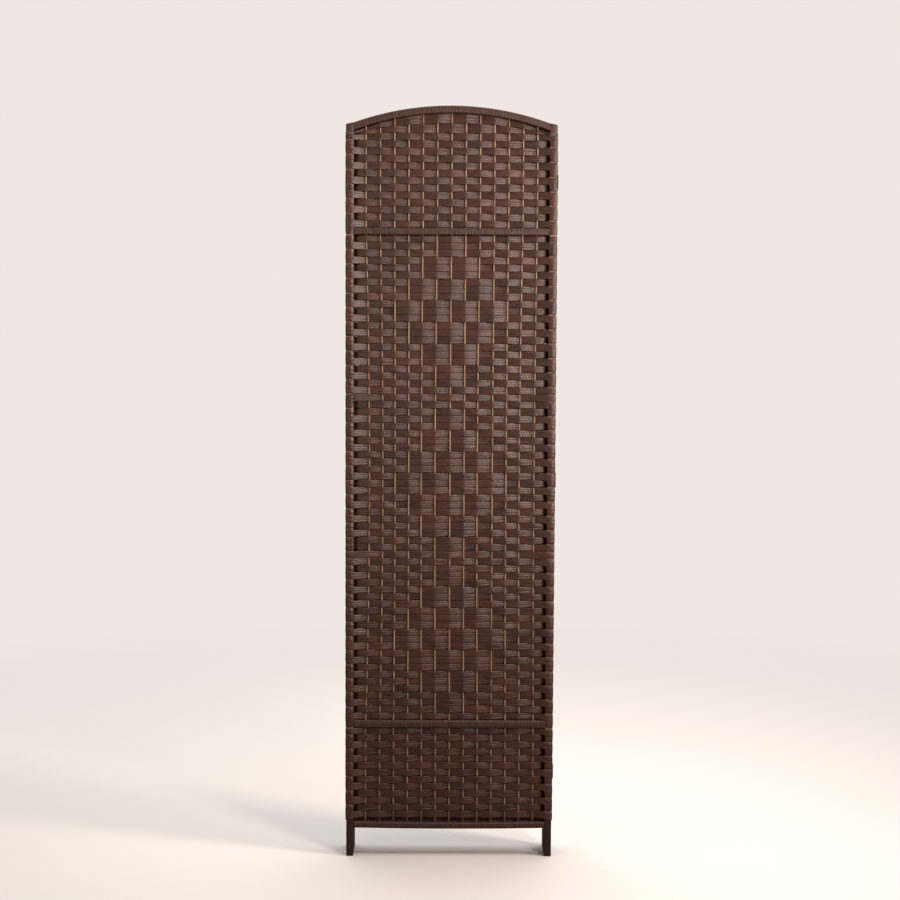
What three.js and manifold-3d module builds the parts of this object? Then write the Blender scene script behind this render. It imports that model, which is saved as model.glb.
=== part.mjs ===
// Four-panel woven folding screen, folded flat. Millimetres, +Z up, the front faces -Y.
// Each panel is a timber frame with thirteen upright rods and three fields of flat woven fibre.
// The panels are joined by double-action hinges: a link with two pins lets each junction fold both ways.
// A rail is one piece with its dowels, a leaf with its screws, a link with its pins, and the rods of a
// panel with the strip at their feet.

import * as THREE from "three";
import { mergeVertices } from "three/addons/utils/BufferGeometryUtils.js";
import Module from "manifold-3d";

const wasm = await Module();
wasm.setup();

// Panel frame
const panelCount = 4;
const panelWidth = 508; // over the weft that wraps the two stiles
const headHeight = 1829; // floor to the top of the arch at mid width
const archRise = 41; // of the arch between the stiles
const stileHeadDrop = 45; // from the top of the arch down to the outer corner of a stile
const stileSide = 17; // square stile
const weftThickness = 1.5;
const railDepth = 18; // front to back, with its fibre binding
const archRailHeight = 17;
const upperRailHeight = 16.5;
const lowerRailHeight = 18;
const bottomRailHeight = 15;
const upperRailDrop = 307; // from the top of the arch down to the underside of the upper rail
const lowerRailLift = 321; // floor to the underside of each lower rail
const bottomRailLift = 71;
const archSteps = 14;

// Upright rods and weave
const rodCount = 13;
const rodDiameter = 4;
const rodSides = 6;
const firstRodInset = 29.7; // stile's inner face to the first rod
const rodBedding = 8; // depth of a rod's end in the head rail and the bottom rail
const openStrip = 10; // bare rods between the bottom rail and the last row of weft
const shoulderRun = 6; // the weave is flat from this far outside the first rod

// Dowels that join the rails to the stiles
const dowelDiameter = 6;
const dowelLength = 24;
const dowelSides = 6;
const footStripHeight = 3; // joins the rods' feet, in the bottom rail's groove

// Double-action hinges
const panelGap = 5; // between the wraps of two folded panels
const leafHeight = 36;
const leafThickness = 1.2;
const leafMargin = 0.5; // bare stile beside the free edge of a leaf
const linkThickness = 1.2;
const knuckleRadius = 2.3;
const knuckleSides = 8;
const leafKnuckleHeight = 11.6;
const knuckleGap = 0.4;
const pinRadius = 1;
const boreClearance = 0.35;
const hingeStagger = 46; // the third junction's hinges sit this much higher

// Screws, two to each leaf
const screwSpacing = 22;
const screwLength = 12;
const screwTip = 2;
const screwRadius = 1;
const screwHeadRadius = 2.1;
const screwHeadDepth = 0.8;
const screwSides = 6;

const gap = 0.3; // left between pieces that rest on each other

// Sizes that follow
const halfWidth = panelWidth / 2;
const stileOut = halfWidth - weftThickness; // outer face of a stile, from mid width
const stileIn = stileOut - stileSide;
const panelDepth = stileSide + 2 * weftThickness;
const panelPitch = panelDepth + panelGap;
const archRadius = (stileIn ** 2 + archRise ** 2) / (2 * archRise);
const archCentre = headHeight - archRadius;
const rodPitch = (2 * (stileIn - firstRodInset)) / (rodCount - 1);
const rodPlaces = Array.from({ length: rodCount }, (_, i) => (i - (rodCount - 1) / 2) * rodPitch);
const rodHole = rodDiameter + 2 * gap;
const weaveDepth = rodHole + 2 * weftThickness;
const bottomRailTop = bottomRailLift + bottomRailHeight;
const lowerRailTop = lowerRailLift + lowerRailHeight;
const upperRailLift = headHeight - upperRailDrop;
const upperRailTop = upperRailLift + upperRailHeight;
const lowerFieldFoot = bottomRailTop + openStrip;
const undersideRadius = archRadius - archRailHeight;
const railReach = stileIn - gap;
const railMiddles = {
  bottom: bottomRailLift + bottomRailHeight / 2,
  lower: lowerRailLift + lowerRailHeight / 2,
  upper: upperRailLift + upperRailHeight / 2,
  arch: archHeight(stileIn, archRadius - archRailHeight / 2),
};
const hingeHeights = {
  low: (lowerFieldFoot + lowerRailLift) / 2,
  middle: (lowerRailTop + upperRailLift) / 2,
  top: (upperRailTop + archHeight(halfWidth, undersideRadius)) / 2,
};
const leafInner = stileOut + gap; // inner face of a leaf
const leafOuter = leafInner + leafThickness;
const pinX = leafOuter + gap + linkThickness / 2;
const pinBehind = panelPitch / 2; // a leaf's pin, behind its panel's middle
const leafFront = -(stileSide / 2 - leafMargin);
const screwY = (leafFront + stileSide / 2) / 2;
const boreRadius = pinRadius + boreClearance;
const knuckleRoom = knuckleRadius + knuckleGap; // from a pin's axis to the edge of a facing plate
const backReach = (panelCount / 2) * panelPitch + knuckleRadius; // back of the last hinge
const frontReach = ((panelCount - 1) / 2) * panelPitch + panelDepth / 2;
const stackShift = (frontReach - backReach) / 2; // centres the folded stack on the origin

const junctions = [
  { front: 1, side: 1, lift: 0 },
  { front: 2, side: -1, lift: 0 },
  { front: 3, side: 1, lift: hingeStagger },
];

const weftPaper = new THREE.MeshStandardMaterial({ color: 0x5d3c33, roughness: 0.75, metalness: 0 });
const boundRail = new THREE.MeshStandardMaterial({ color: 0x6a5048, roughness: 0.75, metalness: 0 });
const stainedWood = new THREE.MeshStandardMaterial({ color: 0x3a2822, roughness: 0.6, metalness: 0 });
const rodWood = new THREE.MeshStandardMaterial({ color: 0xb08a72, roughness: 0.6, metalness: 0 });
const bronzedSteel = new THREE.MeshStandardMaterial({ color: 0x3b302a, roughness: 0.4, metalness: 0.9 });

function archHeight(x, radius) {
  return archCentre + Math.sqrt(radius ** 2 - x ** 2);
}

function archLine(reach, radius) {
  const points = [];
  for (let i = 0; i <= archSteps; i += 1) {
    const x = -reach + (2 * reach * i) / archSteps;
    points.push([x, archHeight(x, radius)]);
  }
  return points;
}

// Front outline of a curved bar that follows the arch
function archBand(reach, inner, outer) {
  return [...archLine(reach, inner), ...archLine(reach, outer).reverse()];
}

function asSolid(geometry) {
  const bare = geometry.clone();
  bare.deleteAttribute("normal");
  bare.deleteAttribute("uv");
  const merged = mergeVertices(bare, 1e-4);
  return new wasm.Manifold(
    new wasm.Mesh({
      numProp: 3,
      vertProperties: merged.attributes.position.array,
      triVerts: merged.index.array,
    }),
  );
}

function asMesh(name, material, solid) {
  const { vertProperties, triVerts } = solid.getMesh();
  const geometry = new THREE.BufferGeometry();
  geometry.setAttribute("position", new THREE.BufferAttribute(vertProperties, 3));
  geometry.setIndex(new THREE.BufferAttribute(triVerts, 1));
  geometry.computeVertexNormals();
  const mesh = new THREE.Mesh(geometry, material);
  mesh.name = name;
  return mesh;
}

function join(solids) {
  return solids.reduce((whole, next) => whole.add(next));
}

function cutAll(solid, cutters) {
  return cutters.reduce((rest, cutter) => rest.subtract(cutter), solid);
}

function block(low, high) {
  const size = high.map((h, i) => h - low[i]);
  const geometry = new THREE.BoxGeometry(...size);
  geometry.translate(...low.map((l, i) => l + size[i] / 2));
  return asSolid(geometry);
}

// A plan outline in X and Y, drawn up from foot to head
function upright(outline, foot, head) {
  const shape = new THREE.Shape(outline.map(([x, y]) => new THREE.Vector2(x, y)));
  const geometry = new THREE.ExtrudeGeometry(shape, { depth: head - foot, bevelEnabled: false });
  geometry.translate(0, 0, foot);
  return asSolid(geometry);
}

// A front outline in X and Z, drawn through a depth centred on the panel
function slab(outline, depth) {
  const shape = new THREE.Shape(outline.map(([x, z]) => new THREE.Vector2(x, z)));
  const geometry = new THREE.ExtrudeGeometry(shape, { depth, bevelEnabled: false });
  geometry.rotateX(Math.PI / 2);
  geometry.translate(0, depth / 2, 0);
  return asSolid(geometry);
}

function post(x, y, radius, foot, head, sides) {
  const geometry = new THREE.CylinderGeometry(radius, radius, head - foot, sides);
  geometry.rotateX(Math.PI / 2);
  geometry.translate(x, y, (foot + head) / 2);
  return asSolid(geometry);
}

function rodBores(foot, head) {
  const half = rodHole / 2;
  return rodPlaces.map((x) => block([x - half, -half, foot], [x + half, half, head]));
}

// Heights of the leaves that one side of a panel carries
function leafLevels(panel, side) {
  const here = junctions.filter((j) => j.side === side && (j.front === panel || j.front === panel - 1));
  return here.flatMap((j) => Object.values(hingeHeights).map((z) => z + j.lift));
}

function screwShape(clearance) {
  const shank = screwRadius + clearance;
  const head = screwHeadRadius + clearance;
  const profile = [
    [0, -screwLength - clearance],
    [shank, -screwLength - clearance + screwTip],
    [shank, -screwHeadDepth],
    [head, 0],
    [0, 0],
  ];
  const geometry = new THREE.LatheGeometry(
    profile.map(([r, y]) => new THREE.Vector2(r, y)),
    screwSides,
  );
  geometry.rotateZ(-Math.PI / 2);
  return geometry;
}

// The two screws of a leaf, or the holes for them, from the leaf's outer face into the stile
function leafScrews(side, level, clearance) {
  return [-1, 1].map((end) => {
    const geometry = screwShape(clearance);
    geometry.rotateZ(side > 0 ? 0 : Math.PI);
    geometry.translate(side * leafOuter, screwY, level + (end * screwSpacing) / 2);
    return asSolid(geometry);
  });
}

// The dowels at a rail's two ends, or the holes for them in the stiles
function dowels(z, clearance) {
  const reach = dowelLength / 2 + clearance;
  const radius = dowelDiameter / 2 + clearance;
  return [-1, 1].map((side) => {
    const geometry = new THREE.CylinderGeometry(radius, radius, 2 * reach, dowelSides);
    geometry.rotateZ(Math.PI / 2);
    geometry.translate(side * railReach, 0, z);
    return asSolid(geometry);
  });
}

function stile(panel, side) {
  const outline = [
    [side * stileIn, 0],
    [side * stileOut, 0],
    [side * stileOut, headHeight - stileHeadDrop],
    [side * stileIn, archHeight(stileIn, archRadius)],
  ];
  const bar = slab(outline, stileSide);
  const screwHoles = leafLevels(panel, side).flatMap((level) => leafScrews(side, level, gap));
  const dowelHoles = Object.values(railMiddles).flatMap((z) => dowels(z, gap));
  return cutAll(bar, [...screwHoles, ...dowelHoles]);
}

function straightRail(lift, height) {
  return block([-railReach, -railDepth / 2, lift], [railReach, railDepth / 2, lift + height]);
}

function crossRail(lift, height) {
  const holes = rodBores(lift - gap, lift + height + gap);
  return join([cutAll(straightRail(lift, height), holes), ...dowels(lift + height / 2, 0)]);
}

function bottomRail() {
  const half = rodHole / 2;
  const ends = rodPlaces[rodCount - 1] + half;
  const foot = bottomRailTop - rodBedding;
  const groove = block([-ends, -half, foot], [ends, half, bottomRailTop + gap]);
  const bar = straightRail(bottomRailLift, bottomRailHeight).subtract(groove);
  return join([bar, ...dowels(railMiddles.bottom, 0)]);
}

function archRail() {
  const bar = slab(archBand(railReach, undersideRadius, archRadius), railDepth);
  const ends = rodPlaces[rodCount - 1] + rodHole / 2;
  const groove = slab(archBand(ends, undersideRadius - rodBedding, undersideRadius + rodBedding), rodHole);
  return join([bar.subtract(groove), ...dowels(railMiddles.arch, 0)]);
}

function rods() {
  const foot = bottomRailTop - rodBedding + gap;
  const half = rodDiameter / 2;
  const ends = rodPlaces[rodCount - 1];
  const strip = block([-ends, -half, foot], [ends, half, foot + footStripHeight]);
  const uprights = rodPlaces.map((x) => {
    const head = archHeight(Math.abs(x) + half, undersideRadius) + rodBedding - gap;
    return post(x, 0, half, foot, head, rodSides);
  });
  return join([strip, ...uprights]);
}

// The weave in plan: flat between the stiles and a sleeve round each of them
function weavePlan() {
  const shoulder = rodPlaces[rodCount - 1] + shoulderRun;
  const quarter = [
    [halfWidth, panelDepth / 2],
    [stileIn, panelDepth / 2],
    [shoulder, weaveDepth / 2],
  ];
  const right = [...quarter.map(([x, y]) => [x, -y]).reverse(), ...quarter];
  return [...right, ...right.map(([x, y]) => [-x, -y])];
}

// The space inside a sleeve: the stile's, and the wedge where front and back weft part to pass it
function sleevePlan(side) {
  const wall = weftThickness - gap;
  const wedge = rodPlaces[rodCount - 1] + shoulderRun + weftThickness;
  const corners = [
    [side * (stileOut + gap), panelDepth / 2 - wall],
    [side * (stileIn - gap), panelDepth / 2 - wall],
    [side * wedge, weaveDepth / 2 - wall],
  ];
  return [...corners, ...corners.map(([x, y]) => [x, -y]).reverse()];
}

function leafNotches(panel, side) {
  const room = leafHeight / 2 + gap;
  const [low, high] = [side * (stileOut - gap), side * (halfWidth + gap)].sort((a, b) => a - b);
  return leafLevels(panel, side).map((level) =>
    block([low, -panelDepth, level - room], [high, panelDepth, level + room]),
  );
}

// One body: the wraps run on along the stiles past the rails, and join the three woven fields
function weave(panel) {
  const reach = halfWidth + gap;
  const archCurve = archLine(reach, undersideRadius - gap).reverse();
  const belowArch = slab([[-reach, 0], [reach, 0], ...archCurve], 2 * panelDepth);
  const whole = upright(weavePlan(), lowerFieldFoot, headHeight).intersect(belowArch);
  const railWindows = [
    [upperRailLift, upperRailTop],
    [lowerRailLift, lowerRailTop],
  ].map(([foot, top]) => block([-stileIn, -panelDepth, foot - gap], [stileIn, panelDepth, top + gap]));
  return cutAll(whole, [
    ...[-1, 1].map((side) => upright(sleevePlan(side), lowerFieldFoot - gap, headHeight)),
    ...rodBores(lowerFieldFoot - gap, headHeight),
    ...railWindows,
    ...[-1, 1].flatMap((side) => leafNotches(panel, side)),
  ]);
}

function panelY(number) {
  return (number - (panelCount + 1) / 2) * panelPitch + stackShift;
}

function makePanel(number) {
  const panel = new THREE.Group();
  const add = (name, material, solid) => panel.add(asMesh(`panel_${number}_${name}`, material, solid));
  add("left_stile", stainedWood, stile(number, -1));
  add("right_stile", stainedWood, stile(number, 1));
  add("arch_rail", boundRail, archRail());
  add("upper_rail", boundRail, crossRail(upperRailLift, upperRailHeight));
  add("lower_rail", boundRail, crossRail(lowerRailLift, lowerRailHeight));
  add("bottom_rail", boundRail, bottomRail());
  add("rods", rodWood, rods());
  add("weave", weftPaper, weave(number));
  panel.position.y = panelY(number);
  return panel;
}

// Leaves and links are built for a right-hand junction, round an upright pin line at pinX
function knuckle(y, radius, foot, head) {
  return post(pinX, y, radius, foot, head, knuckleSides);
}

// A leaf lies on its stile and turns on the pin behind its panel
function leaf(level) {
  const half = leafHeight / 2;
  const inner = leafKnuckleHeight / 2;
  const plateEnd = pinBehind - knuckleRoom;
  const plate = block([leafInner, leafFront, level - half], [leafOuter, plateEnd, level + half]);
  const tongue = block([leafInner, leafFront, level - inner], [leafOuter, pinBehind, level + inner]);
  const body = join([plate, tongue, knuckle(pinBehind, knuckleRadius, level - inner, level + inner)]);
  const bore = knuckle(pinBehind, boreRadius, level - half, level + half);
  return join([body.subtract(bore), ...leafScrews(1, level, 0)]);
}

// A link spans two pins, one pitch apart, that turn in the knuckles of the leaves
function link(level) {
  const half = leafHeight / 2;
  const inner = leafKnuckleHeight / 2 + knuckleGap;
  const bar = (from, to, foot, head) =>
    block([pinX - linkThickness / 2, from, foot], [pinX + linkThickness / 2, to, head]);
  const middle = bar(knuckleRoom, panelPitch - knuckleRoom, level - half, level + half);
  const endBars = [-half, inner].map((foot) => bar(0, panelPitch, level + foot, level + foot + half - inner));
  const knuckles = [0, panelPitch].flatMap((y) => [
    knuckle(y, knuckleRadius, level - half, level - inner),
    knuckle(y, knuckleRadius, level + inner, level + half),
    knuckle(y, pinRadius, level - half, level + half),
  ]);
  return join([middle, ...endBars, ...knuckles]);
}

function makeHinge(label, level, { front, side }) {
  const hinge = new THREE.Group();
  const place = (name, solid, y) => {
    const handed = side > 0 ? solid : solid.mirror([1, 0, 0]);
    const mesh = asMesh(`${label}_${name}`, bronzedSteel, handed);
    mesh.position.y = y;
    hinge.add(mesh);
  };
  place("front_leaf", leaf(level), panelY(front));
  place("back_leaf", leaf(level), panelY(front + 1));
  place("link", link(level), panelY(front) + pinBehind);
  return hinge;
}

const screen = new THREE.Group();
screen.name = "woven_folding_screen";
for (let number = 1; number <= panelCount; number += 1) {
  screen.add(makePanel(number));
}
junctions.forEach((junction) => {
  Object.entries(hingeHeights).forEach(([height, z]) => {
    const label = `hinge_${junction.front}${junction.front + 1}_${height}`;
    screen.add(makeHinge(label, z + junction.lift, junction));
  });
});

export default screen;
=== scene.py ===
import bisect
import bmesh
import bpy
import math
import random
from mathutils import Matrix, Vector


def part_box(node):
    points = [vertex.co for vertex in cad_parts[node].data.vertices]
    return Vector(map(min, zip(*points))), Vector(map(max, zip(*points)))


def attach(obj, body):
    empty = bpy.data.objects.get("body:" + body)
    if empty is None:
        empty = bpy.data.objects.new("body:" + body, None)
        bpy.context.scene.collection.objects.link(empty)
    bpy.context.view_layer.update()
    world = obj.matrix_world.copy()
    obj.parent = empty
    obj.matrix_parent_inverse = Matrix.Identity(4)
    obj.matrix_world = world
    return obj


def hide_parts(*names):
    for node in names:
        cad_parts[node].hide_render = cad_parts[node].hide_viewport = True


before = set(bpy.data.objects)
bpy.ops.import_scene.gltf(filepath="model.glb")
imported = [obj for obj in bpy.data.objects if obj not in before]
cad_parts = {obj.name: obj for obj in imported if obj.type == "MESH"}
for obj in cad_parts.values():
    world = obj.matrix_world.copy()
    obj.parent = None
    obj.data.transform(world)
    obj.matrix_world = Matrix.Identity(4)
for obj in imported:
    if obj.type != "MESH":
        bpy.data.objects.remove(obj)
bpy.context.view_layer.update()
print("frame: loaded", len(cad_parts), "nodes")

mm = 0.001

# the photograph's viewing angle; height and tilt take up the lean of the real screen
cameraValues = {
    "place": (-0.0277, -4.0143, 1.2877),
    "tiltDown": 4.087,
    "turnRight": 0.384,
    "roll": 0.266,
    "lens": 65.64,
    "sensor": 36.0,
}


def placeCamera(values):
    data = bpy.data.cameras.new("photoCamera")
    data.sensor_width = values["sensor"]
    data.lens = values["lens"]
    camera = bpy.data.objects.new("photoCamera", data)
    bpy.context.scene.collection.objects.link(camera)
    turn = Matrix.Rotation(-math.radians(values["turnRight"]), 4, "Z")
    tilt = Matrix.Rotation(math.radians(90 - values["tiltDown"]), 4, "X")
    roll = Matrix.Rotation(math.radians(values["roll"]), 4, "Z")
    camera.matrix_world = Matrix.Translation(values["place"]) @ turn @ tilt @ roll
    bpy.context.scene.camera = camera


placeCamera(cameraValues)
print("camera: placed")


def finishPiece(name, bm, body, material, nodes):
    mesh = bpy.data.meshes.new(name)
    bm.to_mesh(mesh)
    bm.free()
    mesh.materials.append(material)
    mesh.polygons.foreach_set("use_smooth", [True] * len(mesh.polygons))
    piece = bpy.data.objects.new(name, mesh)
    bpy.context.scene.collection.objects.link(piece)
    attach(piece, body)
    if nodes:
        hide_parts(*nodes)
    return piece


def once(parts):
    # each part of a mesh once, in an order that is the same in each run
    return list(dict.fromkeys(parts))


def srgb(red, green, blue):
    def linear(value):
        share = value / 255
        return share / 12.92 if share <= 0.04045 else ((share + 0.055) / 1.055) ** 2.4

    return (linear(red), linear(green), linear(blue), 1)


def newGroup(name, inputs, outputs):
    group = bpy.data.node_groups.new(name, "ShaderNodeTree")
    for socketName, kind, default in inputs:
        socket = group.interface.new_socket(socketName, in_out="INPUT", socket_type=kind)
        if default is not None:
            socket.default_value = default
    for socketName in outputs:
        group.interface.new_socket(socketName, in_out="OUTPUT", socket_type="NodeSocketFloat")
    return group, group.nodes.new("NodeGroupInput"), group.nodes.new("NodeGroupOutput")


def feed(tree, value, socket):
    # a number or a colour is set, another node's output is linked
    if isinstance(value, (int, float, tuple)):
        socket.default_value = value
    else:
        tree.links.new(value, socket)


def mathNode(tree, operation, *values, clamp=False):
    node = tree.nodes.new("ShaderNodeMath")
    node.operation = operation
    node.use_clamp = clamp
    for value, socket in zip(values, node.inputs):
        feed(tree, value, socket)
    return node.outputs[0]


def noiseNode(tree, vector, scale, detail, roughness=0.5):
    node = tree.nodes.new("ShaderNodeTexNoise")
    node.inputs["Scale"].default_value = scale
    node.inputs["Detail"].default_value = detail
    node.inputs["Roughness"].default_value = roughness
    tree.links.new(vector, node.inputs["Vector"])
    return node.outputs["Fac"]


def mapRange(tree, value, low, high, toLow=0.0, toHigh=1.0):
    node = tree.nodes.new("ShaderNodeMapRange")
    feed(tree, value, node.inputs["Value"])
    feed(tree, low, node.inputs["From Min"])
    feed(tree, high, node.inputs["From Max"])
    feed(tree, toLow, node.inputs["To Min"])
    feed(tree, toHigh, node.inputs["To Max"])
    return node.outputs["Result"]


def mixColour(tree, share, first, second):
    node = tree.nodes.new("ShaderNodeMix")
    node.data_type = "RGBA"
    for value, index in ((share, 0), (first, 6), (second, 7)):
        feed(tree, value, node.inputs[index])
    return node.outputs[2]


# millimetres along and across the fibre, shift, detail and roughness of each noise
fibreNoises = {
    "bandTone": (120.0, 1.0, 11.0, 1.0, 0.5),
    "bandWarmth": (110.0, 1.0, 47.0, 1.0, 0.5),
    "strandTone": (70.0, 1.0, 0.0, 1.0, 0.5),
    "strandWarmth": (48.0, 1.0, 31.0, 1.0, 0.5),
    "patch": (24.0, 8.0, 0.0, 2.0, 0.5),
    "streak": (15.0, 0.55, 0.0, 3.0, 0.6),
    "hair": (5.0, 0.22, 0.0, 2.0, 0.6),
    "wander": (12.0, 30.0, 7.0, 2.0, 0.5),
}
fibreValues = {
    "bandSpread": 5.3,  # how far apart two bands, or two strands, stand in the noise
    "strandSpread": 3.7,
    "wander": 0.8,  # a seam strays this many millimetres
    "toneRange": (0.39, 0.61),
    "warmthRange": (0.44, 0.64),
    "streakRange": (0.33, 0.67),
}


def makeFibreGroup(values):
    # flattened paper fibre: the first coordinate runs along it, the second across its strands
    group, entry, leave = newGroup(
        "paperFibre",
        [
            ("Vector", "NodeSocketVector", None),
            ("Band", "NodeSocketFloat", 51.0),
            ("Strand", "NodeSocketFloat", 5.6667),
            ("Seam", "NodeSocketFloat", 0.5),
        ],
        ["Tone", "Warmth", "Streak", "Seam", "Height"],
    )
    parts = group.nodes.new("ShaderNodeSeparateXYZ")
    group.links.new(entry.outputs["Vector"], parts.inputs[0])
    along = mathNode(group, "MULTIPLY", parts.outputs[0], 1000)
    across = mathNode(group, "MULTIPLY", parts.outputs[1], 1000)

    def noise(name, place):
        alongSize, acrossSize, shift, detail, roughness = fibreNoises[name]
        joined = group.nodes.new("ShaderNodeCombineXYZ")
        group.links.new(mathNode(group, "DIVIDE", along, alongSize), joined.inputs[0])
        group.links.new(mathNode(group, "DIVIDE", place, acrossSize), joined.inputs[1])
        joined.inputs[2].default_value = shift
        return noiseNode(group, joined.outputs[0], 1.0, detail, roughness)

    def counted(width, spread):
        whole = mathNode(group, "FLOOR", mathNode(group, "DIVIDE", across, width))
        return mathNode(group, "MULTIPLY", whole, spread)

    def blended(*shares):
        total = 0.0
        for value, share in shares:
            total = mathNode(group, "MULTIPLY_ADD", value, share, total)
        return total

    strandWidth = entry.outputs["Strand"]
    band = counted(entry.outputs["Band"], values["bandSpread"])
    strand = counted(strandWidth, values["strandSpread"])
    streak = noise("streak", across)
    wander = values["wander"]
    strayed = mathNode(group, "MULTIPLY_ADD", noise("wander", across), wander, -wander / 2)
    strayed = mathNode(group, "ADD", across, strayed)
    nearSeam = mathNode(group, "PINGPONG", strayed, mathNode(group, "DIVIDE", strandWidth, 2))
    seam = mapRange(group, nearSeam, 0.0, entry.outputs["Seam"], 1.0, 0.0)
    tone = blended(
        (noise("patch", across), 0.3),
        (noise("strandTone", strand), 0.3),
        (noise("bandTone", band), 0.4),
    )
    warmth = blended((noise("bandWarmth", band), 0.55), (noise("strandWarmth", strand), 0.45))
    height = blended((noise("hair", across), 0.3), (streak, 0.6), (seam, -0.5))
    tone = mapRange(group, tone, *values["toneRange"])
    warmth = mapRange(group, warmth, *values["warmthRange"])
    streak = mapRange(group, streak, *values["streakRange"])
    for value, socket in zip((tone, warmth, streak, seam, height), leave.inputs):
        group.links.new(value, socket)
    return group


grainValues = {
    "ringLength": 60.0,
    "ringRange": (0.32, 0.68),
    "poreSize": (0.35, 9.0),
    "poreRange": (0.42, 0.7),
}


def makeGrainGroup(values):
    # wood grain that runs up the piece
    group, entry, leave = newGroup(
        "uprightGrain",
        [("Vector", "NodeSocketVector", None), ("Grain", "NodeSocketFloat", 1.4)],
        ["Tone", "Pore"],
    )
    parts = group.nodes.new("ShaderNodeSeparateXYZ")
    group.links.new(entry.outputs["Vector"], parts.inputs[0])

    def stretched(acrossSize, alongSize):
        joined = group.nodes.new("ShaderNodeCombineXYZ")
        for index, size in enumerate((acrossSize, acrossSize, alongSize)):
            scaled = mathNode(group, "MULTIPLY", parts.outputs[index], 1000)
            group.links.new(mathNode(group, "DIVIDE", scaled, size), joined.inputs[index])
        return joined.outputs[0]

    ring = noiseNode(group, stretched(entry.outputs["Grain"], values["ringLength"]), 1.0, 3.0)
    pore = noiseNode(group, stretched(*values["poreSize"]), 1.0, 2.0, 0.6)
    group.links.new(mapRange(group, ring, *values["ringRange"]), leave.inputs["Tone"])
    group.links.new(mapRange(group, pore, *values["poreRange"]), leave.inputs["Pore"])
    return group


patinaValues = {"patchScale": 160.0, "patchRange": (0.5, 0.72), "gritScale": 2200.0}


def makePatinaGroup(values):
    # rubbed patches on the hinges' dark coating
    inputs = [("Vector", "NodeSocketVector", None)]
    group, entry, leave = newGroup("rubbedCoating", inputs, ["Rubbed", "Grit"])
    rubbed = noiseNode(group, entry.outputs["Vector"], values["patchScale"], 3.0)
    grit = noiseNode(group, entry.outputs["Vector"], values["gritScale"], 2.0)
    group.links.new(mapRange(group, rubbed, *values["patchRange"]), leave.inputs["Rubbed"])
    group.links.new(grit, leave.inputs["Grit"])
    return group


fibreGroup = makeFibreGroup(fibreValues)
grainGroup = makeGrainGroup(grainValues)
patinaGroup = makePatinaGroup(patinaValues)


def startMaterial(name):
    material = bpy.data.materials.new(name)
    material.use_nodes = True
    shader = material.node_tree.nodes["Principled BSDF"]
    return material, material.node_tree, shader


def placeGroup(tree, group, vector, **values):
    node = tree.nodes.new("ShaderNodeGroup")
    node.node_tree = group
    tree.links.new(vector, node.inputs["Vector"])
    for socketName, value in values.items():
        node.inputs[socketName].default_value = value
    return node.outputs


def dressShader(tree, shader, look, colour, mask, height):
    # the colour, the roughness by a mask and the fine relief
    tree.links.new(colour, shader.inputs["Base Color"])
    tree.links.new(mapRange(tree, mask, 0, 1, *look["rough"]), shader.inputs["Roughness"])
    bump = tree.nodes.new("ShaderNodeBump")
    bump.inputs["Distance"].default_value, bump.inputs["Strength"].default_value = look["bump"]
    tree.links.new(height, bump.inputs["Height"])
    tree.links.new(bump.outputs[0], shader.inputs["Normal"])


fibreLooks = {
    "weft": {
        "dark": (46, 22, 16),
        "middle": (78, 46, 36),
        "warm": (93, 48, 34),
        "pale": (122, 92, 79),
        "rough": (0.31, 0.46),
        "bump": (0.5 * mm, 0.6),
        "strand": 17 / 3,
        "seam": 0.5,
    },
    "binding": {
        "dark": (50, 29, 23),
        "middle": (79, 50, 42),
        "warm": (90, 53, 41),
        "pale": (112, 84, 74),
        "rough": (0.36, 0.52),
        "bump": (0.5 * mm, 0.6),
        "strand": 8.0,
        "seam": 0.9,
    },
}
# the seam share darkens the grooves between strands towards the dark tone: painted shade
fibreShares = {"warm": 0.7, "pale": 0.5, "palePower": 2.5, "seam": 0.6, "sheen": 0.65}


def makeFibreMaterial(name, look):
    material, tree, shader = startMaterial(name)
    uv = tree.nodes.new("ShaderNodeUVMap")
    uv.uv_map = "alongFibre"
    fibre = placeGroup(tree, fibreGroup, uv.outputs[0], Strand=look["strand"], Seam=look["seam"])
    dark, middle, warm, pale = (srgb(*look[tone]) for tone in ("dark", "middle", "warm", "pale"))
    warmShare = mathNode(tree, "MULTIPLY", fibre["Warmth"], fibreShares["warm"])
    paleShare = mathNode(tree, "POWER", fibre["Streak"], fibreShares["palePower"])
    paleShare = mathNode(tree, "MULTIPLY", paleShare, fibreShares["pale"])
    # painted shade: the grooves between the strands are darkened towards the dark tone
    grooveShadeShare = mathNode(tree, "MULTIPLY", fibre["Seam"], fibreShares["seam"])
    base = mixColour(tree, fibre["Tone"], dark, middle)
    base = mixColour(tree, warmShare, base, warm)
    base = mixColour(tree, paleShare, base, pale)
    base = mixColour(tree, grooveShadeShare, base, dark)
    shader.inputs["Specular IOR Level"].default_value = fibreShares["sheen"]
    dressShader(tree, shader, look, base, fibre["Streak"], fibre["Height"])
    return material


woodLooks = {
    "stile": {
        "stain": (54, 37, 30),
        "stainWorn": (74, 53, 44),
        "bare": (176, 138, 116),
        "bareDark": (132, 96, 78),
        "stainTop": 98 * mm,
        "stainBlur": 4 * mm,
        "grain": 1.8,
        "rough": (0.42, 0.66),
        "bump": (0.3 * mm, 0.5),
    },
    "rod": {
        "light": (190, 151, 124),
        "dark": (138, 102, 79),
        "grain": 0.9,
        "rough": (0.45, 0.65),
        "bump": (0.2 * mm, 0.4),
    },
}


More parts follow.
